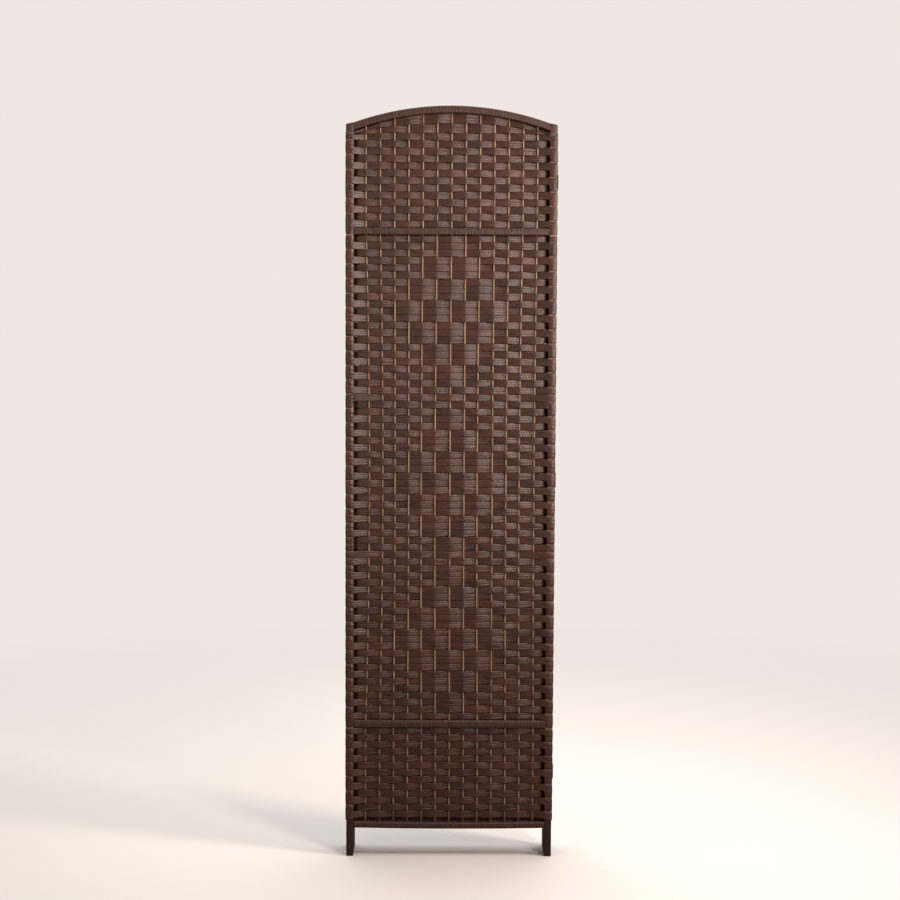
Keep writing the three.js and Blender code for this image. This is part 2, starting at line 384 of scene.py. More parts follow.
def makeStileMaterial(look):
    # stained legs, bare timber where the weft covers it
    material, tree, shader = startMaterial("stileTimber")
    place = tree.nodes.new("ShaderNodeTexCoord").outputs["Object"]
    grain = placeGroup(tree, grainGroup, place, Grain=look["grain"])
    stained = mixColour(tree, grain["Tone"], srgb(*look["stain"]), srgb(*look["stainWorn"]))
    bare = mixColour(tree, grain["Tone"], srgb(*look["bareDark"]), srgb(*look["bare"]))
    parts = tree.nodes.new("ShaderNodeSeparateXYZ")
    tree.links.new(place, parts.inputs[0])
    low, high = look["stainTop"] - look["stainBlur"], look["stainTop"] + look["stainBlur"]
    base = mixColour(tree, mapRange(tree, parts.outputs[2], low, high), stained, bare)
    dressShader(tree, shader, look, base, grain["Pore"], grain["Pore"])
    return material


def makeRodMaterial(look):
    material, tree, shader = startMaterial("rodTimber")
    place = tree.nodes.new("ShaderNodeTexCoord").outputs["Object"]
    grain = placeGroup(tree, grainGroup, place, Grain=look["grain"])
    base = mixColour(tree, grain["Tone"], srgb(*look["dark"]), srgb(*look["light"]))
    dressShader(tree, shader, look, base, grain["Pore"], grain["Pore"])
    return material


steelLooks = {
    "coating": {"dark": (64, 51, 42), "rubbed": (98, 79, 63)},
    "screw": {"dark": (112, 96, 80), "rubbed": (158, 140, 120)},
}
steelFinish = {"rough": (0.55, 0.34), "bump": (0.1 * mm, 0.3), "metal": 0.85}


def makeSteelMaterial(name, look):
    material, tree, shader = startMaterial(name)
    place = tree.nodes.new("ShaderNodeTexCoord").outputs["Object"]
    patina = placeGroup(tree, patinaGroup, place)
    base = mixColour(tree, patina["Rubbed"], srgb(*look["dark"]), srgb(*look["rubbed"]))
    shader.inputs["Metallic"].default_value = steelFinish["metal"]
    dressShader(tree, shader, steelFinish, base, patina["Rubbed"], patina["Grit"])
    return material


weftPaper = makeFibreMaterial("weftPaper", fibreLooks["weft"])
bindingPaper = makeFibreMaterial("bindingPaper", fibreLooks["binding"])
stileTimber = makeStileMaterial(woodLooks["stile"])
rodTimber = makeRodMaterial(woodLooks["rod"])
hingeCoating = makeSteelMaterial("hingeCoating", steelLooks["coating"])
screwSteel = makeSteelMaterial("screwSteel", steelLooks["screw"])
print("materials: made")

panelValues = {"count": 4, "archRailHeight": 17 * mm}


def readPanel(number):
    stileLow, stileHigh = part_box(f"panel_{number}_right_stile")
    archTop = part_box(f"panel_{number}_arch_rail")[1].z
    boxes = {name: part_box(f"panel_{number}_{name}_rail") for name in ("upper", "lower", "bottom")}
    railLow, railHigh = boxes["upper"]
    rise = archTop - stileHigh.z
    archRadius = (stileLow.x**2 + rise**2) / (2 * rise)
    return {
        "number": number,
        "body": f"panel_{number}",
        "y": (stileLow.y + stileHigh.y) / 2,
        "stileIn": stileLow.x,
        "stileOut": stileHigh.x,
        "halfStile": (stileHigh.y - stileLow.y) / 2,
        "rails": {name: (low.z, high.z) for name, (low, high) in boxes.items()},
        "railDepth": railHigh.y - railLow.y,
        "cornerTop": stileHigh.z,
        "archRadius": archRadius,
        "archCentre": archTop - archRadius,
    }


def archUnder(panel, x):
    radius = panel["archRadius"] - panelValues["archRailHeight"]
    return panel["archCentre"] + math.sqrt(radius**2 - x * x)


panels = [readPanel(number + 1) for number in range(panelValues["count"])]
print("panels: y", [round(panel["y"], 4) for panel in panels])

rodValues = {
    "count": 13,
    "radius": 2 * mm,
    "sides": 10,
    "cuts": 40,
    "firstInset": 29.7 * mm,
    "bedding": 6 * mm,
    # how far the weft has drawn each rod aside at the middle of the tall field, left to right
    "sway": (9.0, 7.0, 2.4, 1.2, -2.8, -3.5, -1.5, -1.5, -4.0, -1.6, -2.6, -5.0, -3.0),
    "swayPower": 0.8,
    "rearSway": -0.6,  # the rear panels' share of it, mirrored
}


def swayShape(panel, z):
    low, high = panel["rails"]["lower"][1], panel["rails"]["upper"][0]
    share = (z - low) / (high - low)
    return math.sin(math.pi * share) ** rodValues["swayPower"] if 0 < share < 1 else 0.0


def rodPlace(panel, index, z):
    first = panel["stileIn"] - rodValues["firstInset"]
    pitch = 2 * first / (rodValues["count"] - 1)
    sways = rodValues["sway"]
    sway = sways[index] if panel["number"] == 1 else sways[-1 - index] * rodValues["rearSway"]
    return -first + index * pitch + sway * mm * swayShape(panel, z)


def makeRods(panel):
    bm = bmesh.new()
    bottom = panel["rails"]["bottom"][1] - rodValues["bedding"]
    for index in range(rodValues["count"]):
        top = archUnder(panel, rodPlace(panel, index, bottom)) + rodValues["bedding"]
        standing = len(bm.verts)
        made = bmesh.ops.create_cone(
            bm,
            cap_ends=True,
            segments=rodValues["sides"],
            radius1=rodValues["radius"],
            radius2=rodValues["radius"],
            depth=top - bottom,
            matrix=Matrix.Translation((0, panel["y"], (top + bottom) / 2)),
        )
        edges = once(edge for vert in made["verts"] for edge in vert.link_edges)
        upright = [edge for edge in edges if edge.calc_length() > (top - bottom) / 2]
        bmesh.ops.subdivide_edges(bm, edges=upright, cuts=rodValues["cuts"])
        for vert in list(bm.verts)[standing:]:
            vert.co.x += rodPlace(panel, index, vert.co.z)
    body = panel["body"]
    finishPiece(f"{body}_rod_set", bm, body, rodTimber, [f"{body}_rods"])


for panel in panels:
    makeRods(panel)
print("rods: made")

weftValues = {
    "thickness": 1.5 * mm,
    "reach": 3.05 * mm,  # from the rods' plane to the middle of a band
    "looseReach": 1.12,  # up to this many times as far
    "spread": 2.2 * mm,  # half of the stretch over which a band bends at a rod
    "gap": 0.3 * mm,
    "waver": 0.42 * mm,
    "waverWaves": ((0.046, 1.0), (0.021, 0.8), (0.0093, 0.6)),
    "swell": 0.35 * mm,  # a band is this much wider in front, and pinched behind
    "bow": 0.7 * mm,
    "tilt": 0.055,  # slope of one strand across the band
    "tiltWaves": (0.027, 0.0113),
    "roll": 0.04,  # slope of the whole band across its width
    "rollWaves": (0.019, 0.0087),
    "crown": 1.1 * mm,  # how much a turn round a stile bulges
    "corner": 2.0 * mm,
    "tick": 2.4 * mm,  # the bare strip between two turns on a stile
    "inset": 0.8 * mm,
    "dive": 9.0 * mm,  # where a band leaves the front to pass behind a stile
    "diveEase": 3.0 * mm,
    "diveDepths": (0.75, -0.4),
    "pinch": 1.3 * mm,
    "stileStations": (0.4, 3.2, 5.2, 7.0, 8.6, 10.4, 14.0),  # millimetres from the stile
    "lowestRow": 94.5 * mm,
    "archRows": 2,
    "endSqueeze": 5 * mm,
    "railGap": 1.6 * mm,
    "leafGap": 2.3 * mm,
    "leafReach": 40 * mm,
    "uvWidth": 17 * mm,
    "uvStep": 51 * mm,
    "seed": 40,
}
# across a band of three strands: place, share of the thickness, and strand
strandPlan = (
    (0.0, 0.5, 0),
    (0.04, 1.0, 0),
    (0.31, 1.0, 0),
    (0.34, 0.78, None),
    (0.37, 1.0, 1),
    (0.63, 1.0, 1),
    (0.66, 0.78, None),
    (0.69, 1.0, 2),
    (0.96, 1.0, 2),
    (1.0, 0.5, 2),
)
strandMiddles = (0.167, 0.5, 0.833)
# the rods that show in each step of a diamond, and the rows where the diamonds start
diamondSteps = (
    (6, 8),
    (5, 7, 9),
    (4, 6, 8, 10),
    (3, 5, 7, 9, 11),
    (4, 6, 8, 10),
    (5, 7, 9),
    (6, 8),
)
diamondStarts = (1, 25, 47)
rowsPerStep = 3
fieldRows = {"upper": 15, "middle": 68, "lower": 13}
# rows of the front panel's tall field that pass a stile on the other side than the pattern says
frontPanelSlips = {"left": {23: -1, 24: 1, 44: 1, 45: -1}, "right": {23: -1, 45: -1}}


def isFrontRow(field, row):
    return (row % 2 == 1) != (field["name"] == "middle")


def shownRods(field, row):
    odd, even = range(1, rodValues["count"] + 1, 2), range(2, rodValues["count"], 2)
    plain = set(odd if isFrontRow(field, row) else even)
    if field["name"] != "middle":
        return plain
    for start in diamondStarts:
        step = (row - start) // rowsPerStep
        if row >= start and step < len(diamondSteps):
            held = diamondSteps[step]
            return set(held) | {rod for rod in plain if rod < held[0] or rod > held[-1]}
    return plain


def stileSide(panel, field, row, end):
    # -1 passes in front of the stile, 1 behind it
    side = -1 if isFrontRow(field, row) else 1
    if panel["number"] == 1 and field["name"] == "middle":
        side = frontPanelSlips[end].get(row, side)
    return side


def rowMiddle(field, row):
    return field["bottom"] + (field["rows"] - row + 0.5) * field["pitch"]


def rowKnots(panel, field, row, dice):
    # places and depths that the band's middle line passes between the stiles, left to right
    z = rowMiddle(field, row)
    shown = shownRods(field, row)
    depth = panel["halfStile"] + weftValues["thickness"] / 2
    reach = weftValues["reach"]
    rods = []
    for index in range(rodValues["count"]):
        out = reach * dice.uniform(1.0, weftValues["looseReach"])
        rods.append((rodPlace(panel, index, z), out if index + 1 in shown else -out))
    knots = []
    for (xa, ya), (xb, yb) in zip(rods, rods[1:]):
        knots.append((xa, ya))
        knots.append(((xa + xb) / 2, (ya + yb) / 2 + dice.uniform(-1, 1) * weftValues["bow"]))
    knots.append(rods[-1])
    for end, sign in (("left", -1), ("right", 1)):
        side = stileSide(panel, field, row, end)
        turn = [(sign * (panel["stileIn"] + weftValues["inset"]), side * depth)]
        if side > 0:
            inside = panel["stileIn"] - weftValues["dive"]
            behind, before = weftValues["diveDepths"]
            turn.append((sign * (inside + weftValues["diveEase"]), behind * depth))
            turn.append((sign * inside, before * reach))
        knots = turn + knots if end == "left" else knots + turn[::-1]
    return [knot[0] for knot in knots], [knot[1] for knot in knots]


def depthAt(knots, x):
    places, depths = knots
    total = 0
    for step in (-1, -0.5, 0, 0.5, 1):
        place = min(max(x + step * weftValues["spread"], places[0]), places[-1])
        index = min(max(bisect.bisect_left(places, place), 1), len(places) - 1)
        share = (place - places[index - 1]) / (places[index] - places[index - 1])
        total += depths[index - 1] + (depths[index] - depths[index - 1]) * share
    return total / 5


def makeFields(panel, dice):
    rails = panel["rails"]
    middlePitch = (rails["upper"][0] - rails["lower"][1]) / fieldRows["middle"]
    heights = {
        "upper": (None, rails["upper"][1]),
        "middle": (rails["upper"][0], rails["lower"][1]),
        "lower": (rails["lower"][0], weftValues["lowestRow"]),
    }
    fields = {}
    for name, (top, bottom) in heights.items():
        rows = fieldRows[name]
        field = {"name": name, "rows": rows, "top": top, "bottom": bottom}
        field["waves"] = [[dice.uniform(0, math.tau) for _ in range(3)] for _ in range(rows + 1)]
        field["pitch"] = middlePitch if top is None else (top - bottom) / rows
        field["knots"] = {row: rowKnots(panel, field, row, dice) for row in range(1, rows + 1)}
        fields[name] = field
    return fields


def rowEdge(panel, field, index, x):
    # height of the line between row index and row index + 1, counted from the top
    nominal = field["bottom"] + (field["rows"] - index) * field["pitch"]
    archRows = weftValues["archRows"]
    if field["top"] is None and index <= archRows:
        share = min(abs(x) / panel["stileIn"], 1)
        squeeze = weftValues["endSqueeze"]
        flat = field["bottom"] + (field["rows"] - archRows) * field["pitch"]
        bent = flat - squeeze * share**6
        under = archUnder(panel, min(abs(x), panel["stileIn"]))
        under = under - weftValues["gap"] - squeeze * share**4
        nominal = bent + (under - bent) * (archRows - index) / archRows
    if index == 0:
        return nominal if field["top"] is None else nominal - weftValues["railGap"]
    if index == field["rows"]:
        return nominal if field["name"] == "lower" else nominal + weftValues["railGap"]
    waver = 0
    for (wave, share), start in zip(weftValues["waverWaves"], field["waves"][index]):
        waver += share * math.sin(x / wave + start)
    knots = field["knots"]
    lean = (depthAt(knots[index], x) - depthAt(knots[index + 1], x)) / (2 * weftValues["reach"])
    return nominal + weftValues["waver"] * waver + weftValues["swell"] * min(max(lean, -1), 1)


def fieldPlaces(panel, field, row):
    # where along the row the band gets a station
    z = rowMiddle(field, row)
    rods = [rodPlace(panel, index, z) for index in range(rodValues["count"])]
    bend = weftValues["spread"]
    places = [rods[0] - bend, rods[0]]
    for xa, xb in zip(rods, rods[1:]):
        places += [xa + bend, (xa + xb) / 2, xb - bend, xb]
    places.append(rods[-1] + bend)
    fromStile = [panel["stileIn"] - back * mm for back in weftValues["stileStations"]]
    return [-x for x in fromStile] + places + fromStile[::-1]


def turnStations(panel, side):
    # from the stile's inner edge to the middle of its outer face: x, y, and the shares of the
    # fan, the tick and the bulge
    out = panel["stileOut"] + weftValues["thickness"] / 2
    depth = panel["halfStile"] + weftValues["thickness"] / 2
    corner = weftValues["corner"]
    half = corner * (1 - math.sqrt(0.5))
    inside = panel["stileIn"]
    return [
        (inside + 0.4 * mm, side * (depth - 0.2 * mm), 0.7, 1, 0.0),
        (inside + 1.2 * mm, side * depth, 0.96, 1, 0.1),
        (inside + 8 * mm, side * depth, 1, 1, 0.6),
        (out - corner, side * depth, 1, 0.8, 0.8),
        (out - half, side * (depth - half), 1, 0.5, 0.8),
        (out, side * (depth - corner), 1, 0.35, 0.6),
        (out, side * depth / 2, 1, 0.3, 0.6),
        (out, 0, 1, 0.3, 0.6),
    ]


def turnEdges(panel, field, row, end):
    # the band's edges where it is widest, round the stile, and whether it meets its neighbour
    below = (end == "right") == isFrontRow(field, row)
    partner = row + 1 if below else row - 1
    first, last = (row, partner) if below else (partner, row)
    own = stileSide(panel, field, row, end)
    joined = 1 <= partner <= field["rows"] and stileSide(panel, field, partner, end) == -own
    if not joined:
        first = last = row
    high = rowEdge(panel, field, first - 1, panel["stileIn"])
    low = rowEdge(panel, field, last, panel["stileIn"])
    if last == field["rows"] and field["name"] != "lower":
        rail = "upper" if field["name"] == "upper" else "lower"
        low = panel["rails"][rail][0] + weftValues["gap"]
    return low, high, joined, below


def bandStations(panel, field, row):
    # x, y, lowest and highest edge, how far the band bulges and how freely its strands tilt
    gap = weftValues["gap"] / 2
    knots = field["knots"][row]
    stations = []
    ends = {end: turnEdges(panel, field, row, end) for end in ("left", "right")}
    for x in fieldPlaces(panel, field, row):
        low = rowEdge(panel, field, row, x) + gap
        high = rowEdge(panel, field, row - 1, x) - gap
        end = "left" if x < 0 else "right"
        nearEnd = max(0, 1 - (panel["stileIn"] - abs(x)) / (2 * weftValues["dive"]))
        held = min(2 * nearEnd, 1)
        if stileSide(panel, field, row, end) > 0 and nearEnd:
            if ends[end][3]:
                high -= weftValues["pinch"] * held
            else:
                low += weftValues["pinch"] * held
        stations.append((x, depthAt(knots, x), low, max(high, low + mm), 0.0, 1 - held))
    for end, sign in (("right", 1), ("left", -1)):
        side = stileSide(panel, field, row, end)
        wideLow, wideHigh, joined, _ = ends[end]
        ownLow, ownHigh = stations[-1 if end == "right" else 0][2:4]
        around = turnStations(panel, side)
        if not joined:  # the band goes on to the stile's other side
            others = reversed(turnStations(panel, -side)[:-1])
            around += [(x, y, 1, tick, bulge) for x, y, _, tick, bulge in others]
        turn = []
        for x, y, fan, tick, bulge in around:
            bare = weftValues["tick"] / 2 * tick
            low = ownLow + (wideLow + bare - ownLow) * fan
            high = ownHigh + (wideHigh - bare - ownHigh) * fan
            turn.append((sign * x, y, low, high, weftValues["crown"] * bulge, 0.0))
        stations = stations + turn if end == "right" else turn[::-1] + stations
    return stations if isFrontRow(field, row) else stations[::-1]


def layFibre(made, uvLayer, places):
    # each corner's place along and across the fibre
    for face in once(face for vert in made["verts"] for face in vert.link_faces):
        for loop in face.loops:
            loop[uvLayer].uv = places[loop.vert]


def swing(x, waves, starts):
    return sum(math.sin(x / wave + start) for wave, start in zip(waves, starts))


def addBand(bm, layers, panel, field, row, dice):
    stations = bandStations(panel, field, row)
    across = len(strandPlan) - 1
    count = len(stations) - 1
    made = bmesh.ops.create_grid(bm, x_segments=count, y_segments=across, size=0.5)
    uvLayer, bodyLayer = layers
    runs = [0.0]
    for (xa, ya, *_), (xb, yb, *_) in zip(stations, stations[1:]):
        runs.append(runs[-1] + math.hypot(xb - xa, yb - ya))
    offset = dice.uniform(0, 40)
    tilts = [(dice.uniform(0, math.tau), dice.uniform(0, math.tau)) for _ in strandMiddles]
    rolls = (dice.uniform(0, math.tau), dice.uniform(0, math.tau))
    places = {}
    for vert in made["verts"]:
        step = round((vert.co.x + 0.5) * count)
        part = round((vert.co.y + 0.5) * across)
        share, body, strand = strandPlan[part]
        x, y, low, high, crown, freedom = stations[step]
        bulge = crown * (1 - (2 * share - 1) ** 2)
        if bulge:
            outward = Vector((x, 0)) if abs(y) < panel["halfStile"] else Vector((0, y))
            outward.normalize()
            x += outward.x * bulge
            y += outward.y * bulge
        elif freedom:
            roll = weftValues["roll"] * swing(x, weftValues["rollWaves"], rolls)
            y += roll * freedom * (share - 0.5) * (high - low)
        if strand is not None and freedom:
            tilt = weftValues["tilt"] * freedom * swing(x, weftValues["tiltWaves"], tilts[strand])
            y += tilt * (share - strandMiddles[strand]) * (high - low)
        vert.co = (x, panel["y"] + y, low + (high - low) * share)
        vert[bodyLayer][0] = body
        uvAcross = weftValues["uvWidth"] * share + row * weftValues["uvStep"]
        places[vert] = (runs[step] + offset, uvAcross)
    layFibre(made, uvLayer, places)


def leafOwner(node):
    # the number of the panel that a hinge leaf is screwed to
    front, back = node.split("_")[1]
    return int(front if "front" in node else back)


def cutForLeaves(bm, panel):
    # the turns stop short of the hinge leaves, which are screwed to the bare stile
    outer = panel["stileOut"] - 0.2 * mm
    clear = weftValues["leafGap"]
    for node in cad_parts:
        if not node.endswith("_leaf") or leafOwner(node) != panel["number"]:
            continue
        low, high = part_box(node)
        sign = 1 if low.x > 0 else -1

        def outerFaces(margin):
            faces = []
            for face in bm.faces:
                middle = face.calc_center_median()
                if middle.x * sign > outer and low.z - margin < middle.z < high.z + margin:
                    faces.append(face)
            return faces

        for height in (low.z - clear, high.z + clear):
            faces = outerFaces(weftValues["leafReach"])
            geom = faces + once(edge for face in faces for edge in face.edges)
            bmesh.ops.bisect_plane(bm, geom=geom, plane_co=(0, 0, height), plane_no=(0, 0, 1))
        bmesh.ops.delete(bm, geom=outerFaces(clear), context="FACES")


# the tall field is two pieces, so that neither has too many faces
halfField = fieldRows["middle"] // 2
weftPieces = (
    ("upper", "upper", 1, fieldRows["upper"]),
    ("middle", "middle_high", 1, halfField),
    ("middle", "middle_low", halfField + 1, fieldRows["middle"]),
    ("lower", "lower", 1, fieldRows["lower"]),
)


def makeWeft(panel):
    body = panel["body"]
    dice = random.Random(weftValues["seed"] + panel["number"])
    fields = makeFields(panel, dice)
    for fieldName, pieceName, firstRow, lastRow in weftPieces:
        bm = bmesh.new()
        layers = (bm.loops.layers.uv.new("alongFibre"), bm.verts.layers.deform.verify())
        for row in range(firstRow, lastRow + 1):
            addBand(bm, layers, panel, fields[fieldName], row, dice)
        bmesh.ops.remove_doubles(bm, verts=bm.verts, dist=0.01 * mm)
        cutForLeaves(bm, panel)
        name = f"{body}_{pieceName}_weft"
        piece = finishPiece(name, bm, body, weftPaper, [f"{body}_weave"])
        piece.vertex_groups.new(name="strandBody")
        thick = piece.modifiers.new("paperThickness", "SOLIDIFY")
        thick.thickness = weftValues["thickness"]
        thick.offset = 0
        thick.vertex_group = "strandBody"


for panel in panels:
    makeWeft(panel)
print("weft: woven")

bindingValues = {
    "corner": 2.5 * mm,
    "cornerSteps": 3,
    "turn": 8 * mm,
    "turnPlaces": (0.0, 0.08, 0.4, 0.7),  # columns across one turn
    "edge": 0.4 * mm,  # how far a turn's edge stands over the one before it, at most
    "edgeShares": (0.4, 1.0),
    "sag": 2.5 * mm,  # the bottom rail hangs through a little
    "endGap": 0.3 * mm,
    "lengthSteps": 50,
    "seed": 90,
}


def roundedSection(halfDepth, halfHeight, corner, steps):
    # depth, height, and outward direction of the points round a bar's section
    points = []
    for quarter, (signDepth, signHeight) in enumerate(((1, 1), (-1, 1), (-1, -1), (1, -1))):
        for step in range(steps + 1):
            angle = math.pi / 2 * (quarter + step / steps)
            outDepth, outHeight = math.cos(angle), math.sin(angle)
            depth = signDepth * (halfDepth - corner) + corner * outDepth
            height = signHeight * (halfHeight - corner) + corner * outHeight
            points.append((depth, height, outDepth, outHeight))
    return points


def windBar(route, halfDepth, halfHeight, dice, roundEnd=0.0):
    # one fibre wound round a bar; route gives the middle and the up direction at a share of it
    bm = bmesh.new()
    uvLayer = bm.loops.layers.uv.new("alongFibre")
    values = bindingValues
    section = roundedSection(halfDepth, halfHeight, values["corner"], values["cornerSteps"])
    around = len(section)
    steps = values["lengthSteps"]
    stops = [route(step / steps)[0] for step in range(steps + 1)]
    length = sum((second - first).length for first, second in zip(stops, stops[1:]))
    turns = max(2, round(length / values["turn"]))
    columns = values["turnPlaces"]
    count = len(columns) * (turns + 1)
    made = bmesh.ops.create_grid(bm, x_segments=count, y_segments=around, size=0.5)
    girth = [0.0]
    for index in range(around):
        first, second = section[index], section[(index + 1) % around]
        girth.append(girth[-1] + math.hypot(second[0] - first[0], second[1] - first[1]))
    lifts = [dice.uniform(*values["edgeShares"]) for _ in range(turns + 4)]
    places = {}
    for vert in made["verts"]:
        step = round((vert.co.x + 0.5) * count)
        part = round((vert.co.y + 0.5) * around)
        depth, height, outDepth, outHeight = section[part % around]
        turn, index = divmod(step, len(columns))
        column = columns[index]
        # the turns lean: a column starts one turn earlier for each time it goes round
        gone = girth[part] / girth[-1]
        along = min(max((turn + column + gone - 1) / turns, 0.0), 1.0)
        fibre = turn + gone
        lift = lifts[int(fibre)] + (lifts[int(fibre) + 1] - lifts[int(fibre)]) * (fibre % 1)
        lift *= values["edge"] * (1 - column if index else 0)
        if along in (0.0, 1.0):
            lift = 0
        left = (1 - along) * length
        if left < roundEnd:
            lift -= roundEnd - math.sqrt(roundEnd**2 - (roundEnd - left) ** 2)
        middle, up = route(along)
        outward = Vector((0, depth + outDepth * lift, 0))
        vert.co = middle + up * (height + outHeight * lift) + outward
        places[vert] = (fibre * girth[-1], column * values["turn"])
    layFibre(made, uvLayer, places)
    bmesh.ops.remove_doubles(bm, verts=made["verts"], dist=0.005 * mm)
    bmesh.ops.holes_fill(bm, edges=[edge for edge in bm.edges if edge.is_boundary], sides=0)
    return bm


def straightRoute(panel, low, high, sag):
    reach = panel["stileIn"] - bindingValues["endGap"]
    middle = (low + high) / 2

    def route(share):
        drop = sag * (1 - (2 * share - 1) ** 2)
        return Vector((reach * (2 * share - 1), panel["y"], middle - drop)), Vector((0, 0, 1))

    return route


def archRoute(panel):
    # long enough for the underside to reach the stiles; the ends are cut upright afterwards
    height = panelValues["archRailHeight"]
    reach = math.asin(panel["stileIn"] / (panel["archRadius"] - height))
    radius = panel["archRadius"] - height / 2

    def route(share):
        angle = reach * (2 * share - 1)
        up = Vector((math.sin(angle), 0, math.cos(angle)))
        return Vector((0, panel["y"], panel["archCentre"])) + up * radius, up

    return route


def makeRails(panel):
    body = panel["body"]
    dice = random.Random(bindingValues["seed"] + panel["number"])
    butt = panel["stileIn"] - bindingValues["endGap"]
    plans = [("arch", archRoute(panel), panelValues["archRailHeight"] / 2)]
    for name, (low, high) in panel["rails"].items():
        sag = bindingValues["sag"] if name == "bottom" else 0.0
        plans.append((name, straightRoute(panel, low, high, sag), (high - low) / 2))
    for name, route, halfHeight in plans:
        bm = windBar(route, panel["railDepth"] / 2, halfHeight, dice)
        for vert in bm.verts:
            vert.co.x = min(max(vert.co.x, -butt), butt)
        bmesh.ops.recalc_face_normals(bm, faces=bm.faces)
        node = f"{body}_{name}_rail"
        finishPiece(f"{node}_bound", bm, body, bindingPaper, [node])


for panel in panels:
    makeRails(panel)
print("rails: bound")

stileValues = {
    "edge": 1.2 * mm,
    "edgeSteps": 2,
    "headSlope": 4 * mm,  # the head falls this much from the arch to its outer side
    "sideStand": 0.7,  # a binding's stand sideways, as a share of its stand in depth
    "seed": 200,
}
# turns of flat fibre round a stile; the head's heights count from the top of the stile
stileBindings = {
    "head_binding": {
        "atHead": True,
        "low": -22.5 * mm,
        "high": 0.9 * mm,
        "stand": 0.9 * mm,
        "round": 2.4 * mm,
        "shift": 0.0,
    },
    "end_knot": {
        "atHead": False,
        "low": 91.5 * mm,
        "high": 97 * mm,
        "stand": 1.7 * mm,
        "round": 0.0,
        "shift": 0.7 * mm,  # outwards, clear of the weft
    },
}


def makeStile(panel, end):
    body = panel["body"]
    node = f"{body}_{end}_stile"
    low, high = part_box(node)
    bm = bmesh.new()
    bmesh.ops.create_cube(bm, size=1)
    bmesh.ops.scale(bm, vec=high - low, verts=bm.verts)
    bmesh.ops.translate(bm, vec=(low + high) / 2, verts=bm.verts)
    for vert in bm.verts:
        if vert.co.z > panel["cornerTop"] - mm and abs(vert.co.x) > panel["stileOut"] - mm:
            vert.co.z -= stileValues["headSlope"]
    bmesh.ops.bevel(
        bm,
        geom=bm.edges[:],
        affect="EDGES",
        offset=stileValues["edge"],
        segments=stileValues["edgeSteps"],
        profile=0.5,
        material=-1,
    )
    finishPiece(f"{node}_timber", bm, body, stileTimber, [node])


def bindStile(panel, end, sign, name, values):
    start = panel["cornerTop"] if values["atHead"] else 0.0
    low, high = start + values["low"], start + values["high"]
    middle = sign * ((panel["stileIn"] + panel["stileOut"]) / 2 + values["shift"])

    def route(share):
        return Vector((middle, panel["y"], low + (high - low) * share)), Vector((1, 0, 0))

    halfWidth = (panel["stileOut"] - panel["stileIn"]) / 2
    halfDepth = panel["halfStile"] + values["stand"]
    halfHeight = halfWidth + values["stand"] * stileValues["sideStand"]
    dice = random.Random(stileValues["seed"] + panel["number"])
    bm = windBar(route, halfDepth, halfHeight, dice, values["round"])
    if values["atHead"]:
        for vert in bm.verts:
            share = (vert.co.z - low) / (high - low)
            outward = (abs(vert.co.x) - panel["stileIn"]) / (2 * halfWidth)
            vert.co.z -= stileValues["headSlope"] * outward * share**2
    bmesh.ops.recalc_face_normals(bm, faces=bm.faces)
    body = panel["body"]
    finishPiece(f"{body}_{end}_{name}", bm, body, bindingPaper, [])


for panel in panels:
    for end, sign in (("left", -1), ("right", 1)):
        makeStile(panel, end)
        for name, values in stileBindings.items():
            bindStile(panel, end, sign, name, values)
print("stiles: made")

screwValues = {
    "radius": 2.1 * mm,
    "sides": 24,
    "depth": 0.5 * mm,
    "bed": 0.02 * mm,  # the bottom of the slot over the leaf
    "rise": 0.12 * mm,
    "slot": 0.3 * mm,
    "spacing": 22 * mm,
    "shift": 0.25 * mm,
    "leafFace": 1.5 * mm,  # from the bare stile to the leaf's outer face
    "sharpEdge": 0.6,  # radians
    "seed": 300,
}


def makeScrewHeads(node, panel, dice):
    # slotted heads, sunk into a hinge leaf
    low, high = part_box(node)
    sign = 1 if low.x > 0 else -1
    slot = screwValues["slot"]
    bm = bmesh.new()
    for end in (-1, 1):
        standing = len(bm.verts)
        bmesh.ops.create_cone(
            bm,
            cap_ends=True,
            segments=screwValues["sides"],
            radius1=screwValues["radius"],
            radius2=screwValues["radius"],
            depth=screwValues["depth"],
            matrix=Matrix.Translation((0, 0, screwValues["bed"] - screwValues["depth"] / 2)),
        )
        for cut in (-slot, slot):
            verts = list(bm.verts)[standing:]
            edges = once(edge for vert in verts for edge in vert.link_edges)
            faces = once(face for vert in verts for face in vert.link_faces)
            geom = verts + edges + faces
            bmesh.ops.bisect_plane(bm, geom=geom, plane_co=(cut, 0, 0), plane_no=(1, 0, 0))
        halves = []
        for face in once(face for vert in list(bm.verts)[standing:] for face in vert.link_faces):
            middle = face.calc_center_median()
            if abs(face.normal.z) > 0.9 and middle.z > 0 and abs(middle.x) > slot:
                halves.append(face)
        raised = bmesh.ops.extrude_discrete_faces(bm, faces=halves)["faces"]
        lifted = once(vert for face in raised for vert in face.verts)
        bmesh.ops.translate(bm, vec=(0, 0, screwValues["rise"]), verts=lifted)
        x = sign * (panel["stileOut"] + screwValues["leafFace"])
        y = panel["y"] + screwValues["shift"]
        z = (low.z + high.z) / 2 + end * screwValues["spacing"] / 2
        lay = Matrix.Rotation(sign * math.pi / 2, 4, "Y")
        spin = Matrix.Rotation(dice.uniform(0, math.pi), 4, "Z")
        place = Matrix.Translation((x, y, z)) @ (lay @ spin)
        bmesh.ops.transform(bm, matrix=place, verts=list(bm.verts)[standing:])
    bmesh.ops.recalc_face_normals(bm, faces=bm.faces)
    for edge in bm.edges:
        edge.smooth = edge.calc_face_angle(0) < screwValues["sharpEdge"]
    finishPiece(f"{node}_screw_heads", bm, panel["body"], screwSteel, [])


